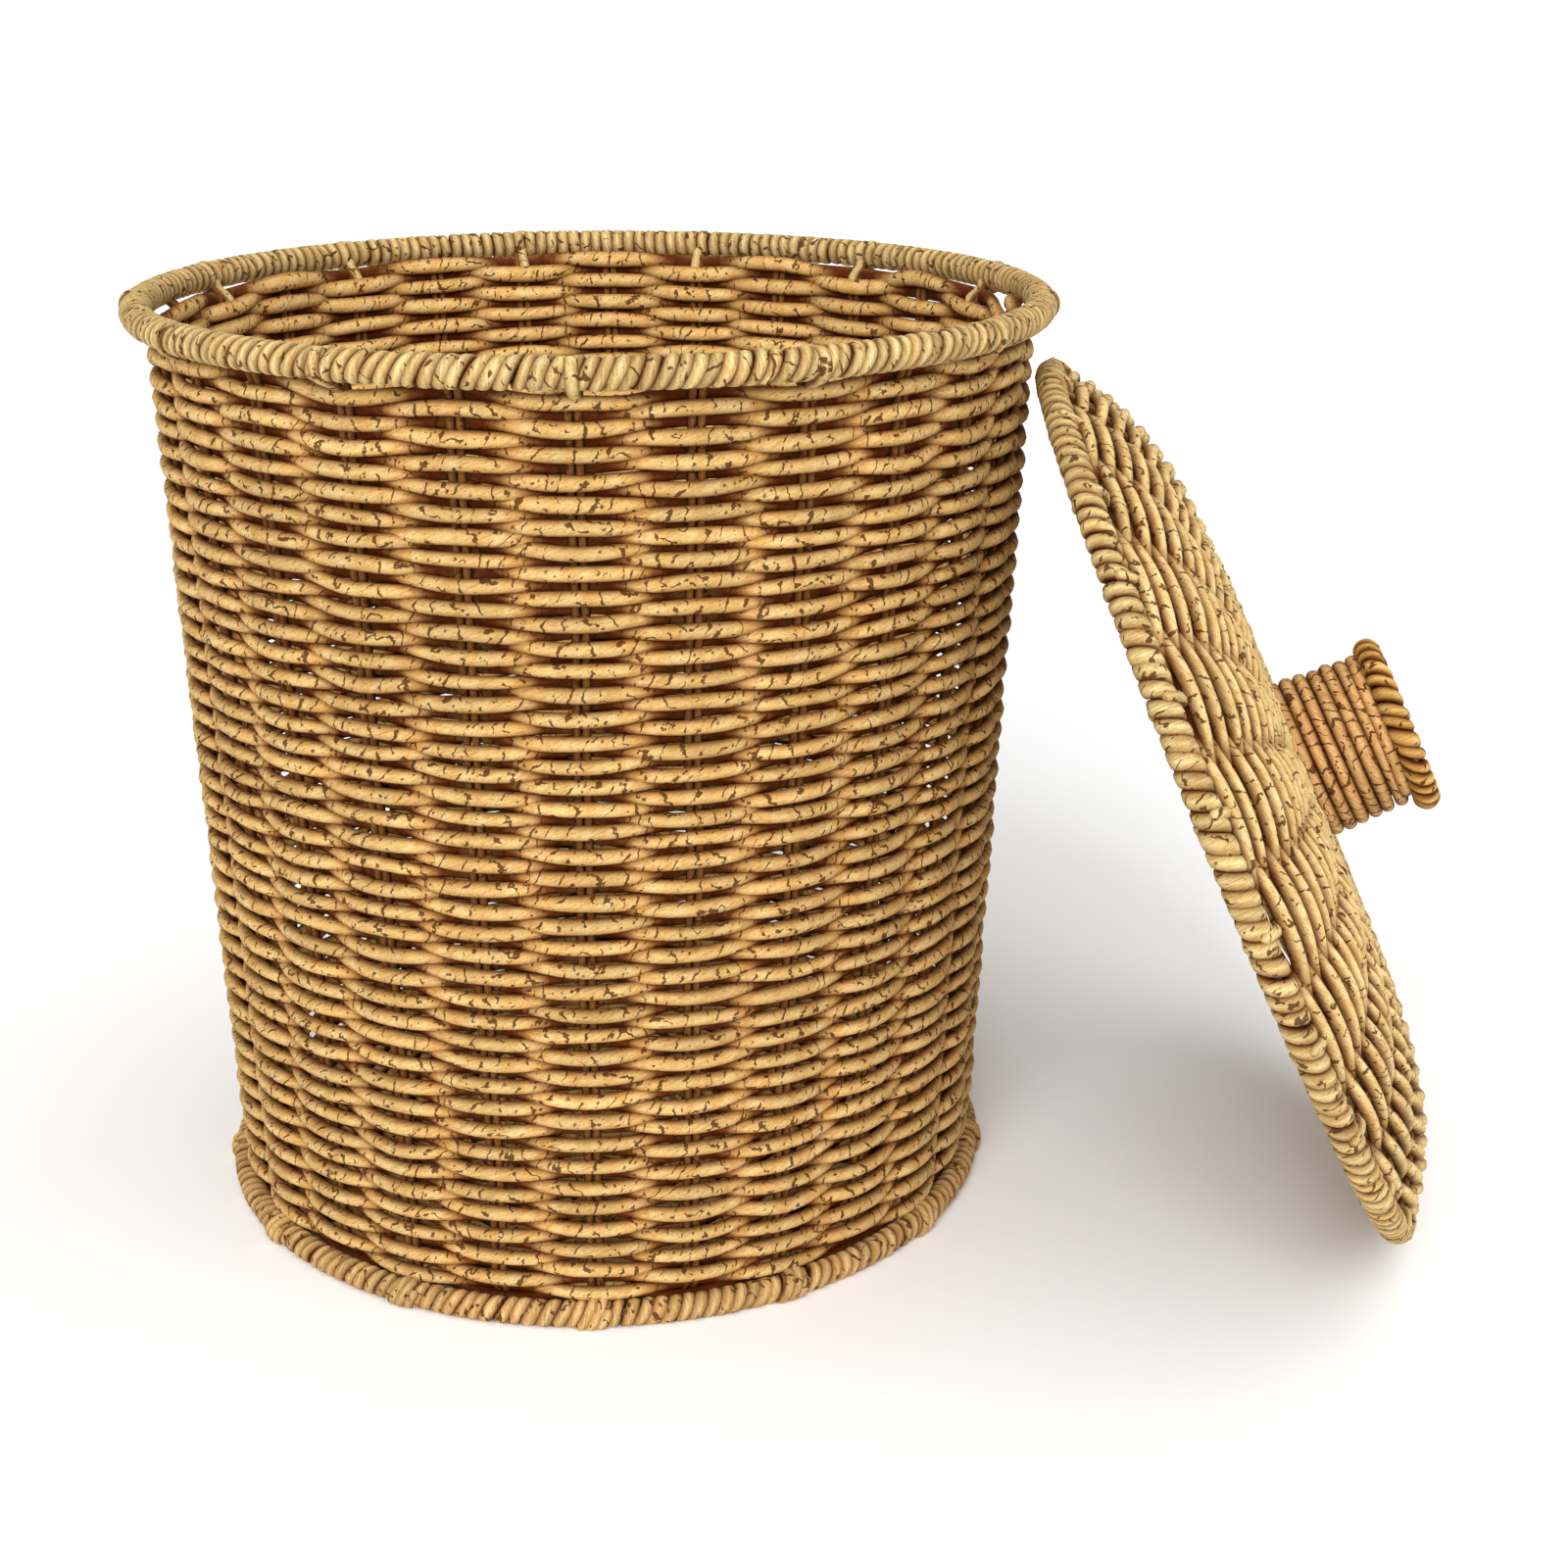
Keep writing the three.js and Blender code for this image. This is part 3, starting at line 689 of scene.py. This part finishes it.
def ties():
    """Loops that come down over the rim's wraps, go in behind the top row and up again inside."""
    piece = Cords("rim_ties", "basket", "wrapping_cord", ["rim_wrap"])
    at_rim = [(-0.3, 3.0), (1.8, 3.8), (3.8, 2.2), (4.4, -0.8), (2.8, -3.4), (0.6, -4.5)]
    at_wall = [(3.0, 0.4), (1.0, -1.2), (0.2, -3.2), (-1.6, -3.2), (-2.2, -0.8)]
    inside = [(-3.8, -3.6), (-3.0, -1.2)]
    route = [[RIM_RADIUS + away, RIM_HEIGHT + up] for away, up in at_rim]
    route += [[WALL_TOP_RADIUS + away, WALL_TOP + up] for away, up in at_wall]
    route += [[RIM_RADIUS + away, RIM_HEIGHT + up] for away, up in inside]
    profile = bent_line(route, spacing=1.0, radius=2.0)
    slant = 0.5 * np.linspace(-1, 1, len(profile))
    for k in range(0, STAKES, 2):
        out, side = out_and_side(float(stake_angle(k)))
        line = set_up(profile, out, side, slant + piece.some(0.5))
        normal = -square_to(profile, out)
        tone = piece.some(0.05)
        piece.add(line, normal, *TIE_CORD, tone, CORD_SIDES, square=0.8, edge=2.0)
    piece.make(wrapping)


ties()

foot = Cords("foot_wrapping", "basket", "wrapping_cord", ["foot_wrap"])
ring_wrap(
    foot,
    FOOT_RADIUS,
    FOOT_HEIGHT,
    FOOT_THICKNESS,
    FOOT_TURNS,
    slant=0.9,
    cord=(1.4, 2.0),
    seed=SEED["foot"],
    wild=0.65,
    flat=0.0,
)
foot.make(foot_cord)


def foot_lashings():
    """Two and a half turns of cord over the wraps at every second stake."""
    piece = Cords("foot_lashings", "basket", "wrapping_cord", ["foot_wrap"])
    for k in range(0, STAKES, 2):
        middle = float(stake_angle(k)) + piece.some(0.006)
        t = np.linspace(LASHING_START, LASHING_END, LASHING_POINTS)
        share = (t - LASHING_START) / (LASHING_END - LASHING_START)
        section = 2 * math.pi * t - 0.6
        reach = FOOT_THICKNESS / 2 - 0.4 + 0.3 * np.sin(math.pi * share)
        angle = middle + (2.6 * (t - 0.9) + 1.6 * np.sin(section)) / FOOT_RADIUS
        out = around(angle)
        normal = round_section(out, section)
        line = upright(out * FOOT_RADIUS, FOOT_HEIGHT) + normal * reach[:, None]
        line[:, 2] = np.maximum(line[:, 2], 0.9)
        piece.add(line, normal, *LASHING_CORD, tone=piece.some(0.05), floor=0.0)
    piece.make(foot_cord)


foot_lashings()


# Round sheets of weave: the base, and the lid's dome
def disc_weaver(piece, parity, profile, rows, climb_at, seed, angle_of, swing=0.0, slim=1.0):
    """A cord woven over and under radial stakes.

    The profile gives the radius, the height and the surface's normal for a row. Swing makes the
    outermost rows wave towards the ring and back, and slim narrows the cord.
    """
    last = rows - 1 - ((rows - 1 - parity) % 2)
    k, row = weaver(parity, last, climb_at)
    odd = (1 - np.cos(math.pi * k)) / 2
    waving_row = row - swing * np.exp(-row * 1.1) * (odd - 0.35)
    radius, height, normal_out, normal_up = profile(waving_row)

    # Towards the axis the stakes are close together, and the cord is flatter and a little thinner
    spacing = 2 * math.pi * radius / STAKES
    small = np.clip(spacing / 15.0, 0.42, 1.0)
    wave = over_and_under(k, parity)
    passing = 1 - wave * wave
    reach = (WEAVE_REACH - 0.35) * (0.35 + 0.65 * small) * wave + wander(k, 0.12, seed, 1.0)
    drift = wander(k, 0.2, seed + 1, 0.5)
    drift = drift + 0.3 * np.sin(0.47 * k + 0.6 * row) * np.sin(0.23 * row)
    drift = drift + swing * np.exp(-row * 0.7) * (1 - wave) / 2
    out = around(angle_of(k))
    normal = upright(out * normal_out[:, None], normal_up)
    slope = upright(out * normal_up[:, None], -normal_out)
    middle = upright(out * radius[:, None], height)
    line = middle + normal * reach[:, None] + slope * drift[:, None]
    size = (1 + wander(k, 0.05, seed + 2, 0.7)) * (0.86 + 0.14 * small)
    half_side = (CORD_UP - 0.14 * passing + swing * np.exp(-2 * row) * (1 - wave)) * size * slim
    half_out = (CORD_OUT - 0.1 * passing) * size

    # Crest of the cord, which sets its painted highlight and the painted shade in its furrows
    def crest(ring):
        away = np.abs(((ring - middle[:, None]) * normal[:, None]).sum(-1))
        return smooth((away - 0.5 * small[:, None]) / (0.5 + 1.9 * small[:, None]))

    tone = wander(k, 0.07, seed + 3, 1.3)
    piece.add(line, normal, half_out, half_side, tone, CORD_SIDES, crest)


def coil(piece, radius, height, swell, cord, pitch, seed, way=1.0):
    """A flat coil of cord from the middle out to the radius, with a slight swelling.

    Cord is half the cord's width, and way is 1 where the coil faces up and -1 where it faces down.
    """
    inner = 1.2
    turns = (radius - inner) / pitch
    t = np.linspace(0, turns, int(turns * COIL_STEPS))
    r = inner + pitch * t
    middle = height + swell * (1 - (r / radius) ** 2)
    line = upright(around(2 * math.pi * t) * r[:, None], middle + wander(t, 0.12, seed, 0.2))
    normal = np.broadcast_to(np.array([0, 0, way]), line.shape)
    width = cord * (1 + wander(t, 0.05, seed + 1, 0.25))
    tone = wander(t, 0.05, seed + 2, 0.3)

    # Crest of the coil, which sets its painted highlight and the painted shade between its turns
    def crest(ring):
        return smooth(0.3 + np.abs(ring[..., 2] - middle[:, None]) / cord)

    piece.add(line, normal, cord * 0.92, width, tone, crest=crest)


def base_profile(row):
    outer, inner = corner - BASE_EDGE, BASE_INNER + 1.6
    radius = outer - (outer - inner) * (row / (BASE_ROWS - 1))
    return radius, np.full_like(radius, BASE_MIDDLE), np.zeros_like(radius), np.ones_like(radius)


for name, parity in (("base_weaver_a", 0), ("base_weaver_b", 1)):
    disc = Cords(name, "basket", "woven_cord", ["base_weave"])
    seed = SEED["base"] + 10 * parity
    disc_weaver(disc, parity, base_profile, BASE_ROWS, CLIMB_AT, seed, stake_angle)
    disc.make(woven)

base_coil = Cords("base_centre", "basket", "woven_cord", ["base_weave"])
coil(
    base_coil,
    BASE_INNER - 0.3,
    BASE_MIDDLE + 0.4,
    swell=0.5,
    cord=1.9,
    pitch=3.6,
    seed=SEED["base coil"],
)
base_coil.make(woven)

# Lid's own axes: x towards the floor, y level, z out through the knob
lid_joint = next(joint for joint in frame["joints"] if joint["name"] == "lid_lift")
joint_axis = Vector(lid_joint["axis"]).normalized()
across = Vector((0, 0, 1)).cross(joint_axis).normalized()
down = across.cross(joint_axis)
ring_points = np.array([v.co for v in frame["nodes"]["lid_hoop"].data.vertices], float)
lid_centre = (ring_points.min(0) + ring_points.max(0)) / 2 / MM
lid_place = (np.array([down, across, joint_axis], float), lid_centre)


def lid_angle(k):
    return 2 * math.pi * (np.asarray(k, float) + 0.5) / STAKES + LID_SPIN


def dome_height(radius):
    return DOME_MIDDLE * (1 - (np.asarray(radius, float) / LID_RADIUS) ** DOME_FULLNESS)


# Outermost radius of the rows, which leaves the open band to the ring
dome_search = np.linspace(LID_RADIUS - 15, LID_RADIUS, 3000)
dome_away = np.hypot(LID_RADIUS - dome_search, dome_height(dome_search))
dome_edge = float(dome_search[dome_away > LID_THICKNESS / 2 + LID_GAP].max())

# Length along the dome from that edge inwards
dome_radii = np.linspace(dome_edge, LID_INNER, 800)
dome_lengths = lengths_along(np.stack([dome_radii, dome_height(dome_radii)], -1))
lid_rows = int((dome_lengths[-1] - LID_START) / LID_PITCH)


def dome_normal(radius):
    share = radius / LID_RADIUS
    slope = -DOME_MIDDLE * DOME_FULLNESS * share ** (DOME_FULLNESS - 1) / LID_RADIUS
    size = np.hypot(1, slope)
    return -slope / size, 1 / size


def lid_profile(row):
    radius = np.interp(LID_START + row * LID_PITCH, dome_lengths, dome_radii)
    lift = 1.5 * smooth((32 - radius) / 9)  # of the innermost rows, onto the foot of the stem
    return (radius, dome_height(radius) + lift, *dome_normal(radius))


for name, parity in (("lid_weaver_a", 0), ("lid_weaver_b", 1)):
    disc = Cords(name, "lid", "woven_cord", ["lid_weave"], lid_place)
    seed = SEED["lid"] + 10 * parity
    disc_weaver(
        disc, parity, lid_profile, lid_rows, LID_CLIMB_AT, seed, lid_angle, swing=0.25, slim=0.88
    )
    disc.make(lid_cord)


def lid_stakes():
    """Pairs of strands from inside the ring's wrapping, through the weave, to the stem's foot."""
    piece = Cords("lid_stakes", "lid", "stake_cord", ["lid_weave"], lid_place)
    radii = np.concatenate([[LID_RADIUS - 2.0], np.linspace(dome_edge + 2.5, LID_INNER - 2.0, 30)])
    heights = dome_height(radii)
    heights[0] = 2.2
    last = np.array([[STEM_FOOT_RADIUS - 1.4, DOME_MIDDLE + 3.0]])
    profile = np.concatenate([np.stack([radii, heights], -1), last])
    apart = strands_apart(profile[:, 0], 12, 0.72)
    for i in range(STAKES):
        out, side = out_and_side(float(lid_angle(i)))
        sway = wander(profile[:, 0], 0.3, SEED["lid stakes"] + i, 28.0)
        normal = -square_to(profile, out)
        for hand in (-1, 1):
            line = set_up(profile, out, side, hand * apart + sway)
            piece.add(line, normal, STRAND, STRAND, tone=piece.some(0.06))
    piece.make(stake_cord)


lid_stakes()

lid_middle = Cords("lid_centre", "lid", "woven_cord", ["lid_weave"], lid_place)
coil(
    lid_middle,
    LID_INNER - 1.8,
    DOME_MIDDLE - 0.5,
    swell=0.3,
    cord=1.8,
    pitch=3.4,
    seed=SEED["lid coil"],
    way=-1.0,
)
lid_middle.make(woven)


def lid_ties():
    """Loops of the ring's cord round the ends of the lid's stakes."""
    piece = Cords("lid_ties", "lid", "wrapping_cord", ["lid_wrap"], lid_place)
    edge = np.array([dome_edge, dome_height(dome_edge)])
    outwards = unit(np.array([LID_RADIUS, 0.0]) - edge)
    upwards = np.array([-outwards[1], outwards[0]])
    route = [(8.0, 3.2), (4.2, 3.5), (1.6, 2.7), (0.4, 0.8), (0.6, -1.4), (4.2, -3.4), (8.0, -3.2)]
    points = [edge + outwards * away + upwards * lift for away, lift in route]
    profile = bent_line(points, spacing=0.9, radius=2.4)
    slant = 1.2 * np.linspace(-1, 1, len(profile))
    for k in range(STAKES):
        out, side = out_and_side(float(lid_angle(k)) + piece.some(0.012))
        line = set_up(profile, out, side, slant)
        piece.add(line, -square_to(profile, out), *LID_TIE_CORD, tone=piece.some(0.05))
    piece.make(wrapping)


lid_ties()

lid_ring = Cords("lid_ring_wrapping", "lid", "wrapping_cord", ["lid_wrap"], lid_place)
ring_wrap(
    lid_ring,
    LID_RADIUS,
    0.0,
    LID_THICKNESS,
    LID_TURNS,
    slant=0.5,
    cord=(1.5, 2.46),
    seed=SEED["lid ring"],
    wild=0.8,
)
lid_ring.make(wrapping)


# Knob
def stem_core_radius(height):
    share = (height - STEM_FOOT) / (STEM_CAP_FOOT - STEM_FOOT)
    return STEM_FOOT_RADIUS + (STEM_TOP_RADIUS - STEM_FOOT_RADIUS) * share


def stem_strands():
    """The lid's stakes, gathered side by side."""
    piece = Cords("knob_strands", "lid", "stake_cord", ["knob_core"], lid_place)
    heights = np.linspace(STEM_FOOT - 2.5, STEM_CAP_FOOT - 0.6, 14)
    for i in range(2 * STAKES):
        angle = 2 * math.pi * (i + 0.5) / (2 * STAKES)
        out = around(np.array(angle))
        line = upright(out[None] * (stem_core_radius(heights) - STRAND)[:, None], heights)
        piece.add(line, out, STRAND, STRAND * 1.04, tone=piece.some(0.08))
    piece.make(stake_cord)


stem_strands()


def stem_winding():
    piece = Cords("knob_stem_winding", "lid", "woven_cord", ["knob_winding"], lid_place)
    half = STEM_CORD / 2
    seed = SEED["stem"]
    t = np.arange(-STEM_STEPS, int(STEM_TURNS * STEM_STEPS)) / STEM_STEPS
    height = np.minimum(STEM_FOOT + 0.4 + t * STEM_PITCH, FLANGE_HEIGHT - 5.2)
    height = height + wander(t, 0.12, seed, 0.2)
    normal = around(2 * math.pi * t)
    radius = stem_core_radius(height) + half + 0.15 + wander(t, 0.14, seed + 1, 0.15)
    radius = radius + 0.8 * smooth(t - STEM_TURNS + 1)  # the last turn lies wider
    line = upright(normal * radius[:, None], height)

    # Crest of the winding, which sets its painted highlight and the painted shade between its
    # turns
    def crest(ring):
        away = ((ring - line[:, None]) * normal[:, None]).sum(-1)
        return smooth(0.3 + 1.2 * away / STEM_CORD)

    size = 1 + wander(t, 0.05, seed + 2, 0.12)
    tone = wander(t, 0.06, seed + 3, 0.2)
    piece.add(
        line, normal, half * 0.98 * size, half * 1.04 * size, tone, STEM_SIDES, crest, edge=1.5
    )
    piece.make(knob_cord)


stem_winding()

flange = Cords("flange_wrapping", "lid", "wrapping_cord", ["flange_winding"], lid_place)
ring_wrap(
    flange,
    FLANGE_RADIUS,
    FLANGE_HEIGHT,
    FLANGE_WIRE + 2 * FLANGE_CORD + 0.6,
    FLANGE_TURNS,
    slant=1.0,
    cord=(1.45, 2.0),
    seed=SEED["flange"],
    wild=1.0,
    steps=24,
    sides=12,
    square=0.9,
)
flange.make(flange_cord)

cap = Cords("knob_end", "lid", "woven_cord", ["knob_cap"], lid_place)
coil(
    cap,
    FLANGE_RADIUS - 5.4,
    STEM_CAP_FOOT + 0.4,
    swell=0.4,
    cord=1.6,
    pitch=3.1,
    seed=SEED["knob end"],
)
cap.make(knob_cord)

# Wire hoops keep their solids and get their own finish
for name in ("rim_hoop", "foot_hoop", "lid_hoop", "flange_hoop"):
    node = frame["nodes"][name]
    node.data.materials.clear()
    node.data.materials.append(wire)


# Floor, light and camera
def studio_floor():
    bpy.ops.mesh.primitive_plane_add(size=FLOOR_SIZE, location=(0, 0, 0))
    plane = bpy.context.object
    plane.name = "studio_floor"
    shader = Shader("pale_floor")
    place = shader.node("ShaderNodeTexCoord").outputs["Object"]
    cloud = shader.noise(place, 3.0, detail=2.0)
    color = shader.mix(shader.span(cloud, 0.3, 0.7), linear(250, 250, 250), linear(255, 255, 255))
    pale = shader.finished({"Base Color": color, "Roughness": 0.9, "Specular IOR Level": 0.1})
    plane.data.materials.append(pale)


def sky():
    world = bpy.data.worlds.new("studio")
    world.use_nodes = True
    background = world.node_tree.nodes["Background"]
    background.inputs["Color"].default_value = WHITE
    background.inputs["Strength"].default_value = SKY_STRENGTH
    bpy.context.scene.world = world


def soft_sun(name, towards, strength, angle):
    """A distant light that lies in the given direction and is some degrees wide."""
    light = bpy.data.lights.new(name, "SUN")
    light.energy = strength
    light.angle = math.radians(angle)
    lamp = bpy.data.objects.new(name, light)
    lamp.rotation_euler = Vector(towards).to_track_quat("Z", "Y").to_euler()
    bpy.context.scene.collection.objects.link(lamp)


def camera():
    forward = Vector((0, math.cos(CAMERA_PITCH), -math.sin(CAMERA_PITCH)))
    level = Vector((1, 0, 0))
    raised = Vector((0, math.sin(CAMERA_PITCH), math.cos(CAMERA_PITCH)))
    right = math.cos(CAMERA_ROLL) * level + math.sin(CAMERA_ROLL) * raised
    up = math.cos(CAMERA_ROLL) * raised - math.sin(CAMERA_ROLL) * level
    data = bpy.data.cameras.new("camera")
    data.sensor_width = SENSOR_WIDTH
    data.lens = FOCAL_PIXELS / PHOTO_WIDTH * SENSOR_WIDTH
    data.shift_x, data.shift_y = 0.0, CAMERA_SHIFT
    data.clip_start, data.clip_end = 0.05, 50.0
    eye = bpy.data.objects.new("camera", data)
    matrix = Matrix((right, up, -forward)).transposed().to_4x4()
    matrix.translation = Vector(CAMERA_PLACE) * MM
    eye.matrix_world = matrix
    bpy.context.scene.collection.objects.link(eye)
    bpy.context.scene.camera = eye


studio_floor()
sky()
soft_sun("key_light", towards=(-0.16, -0.95, 0.6), strength=2.35, angle=40)
soft_sun("top_light", towards=(0.5, -0.35, 1.0), strength=1.15, angle=80)
camera()
bpy.context.scene.view_settings.view_transform = "Standard"
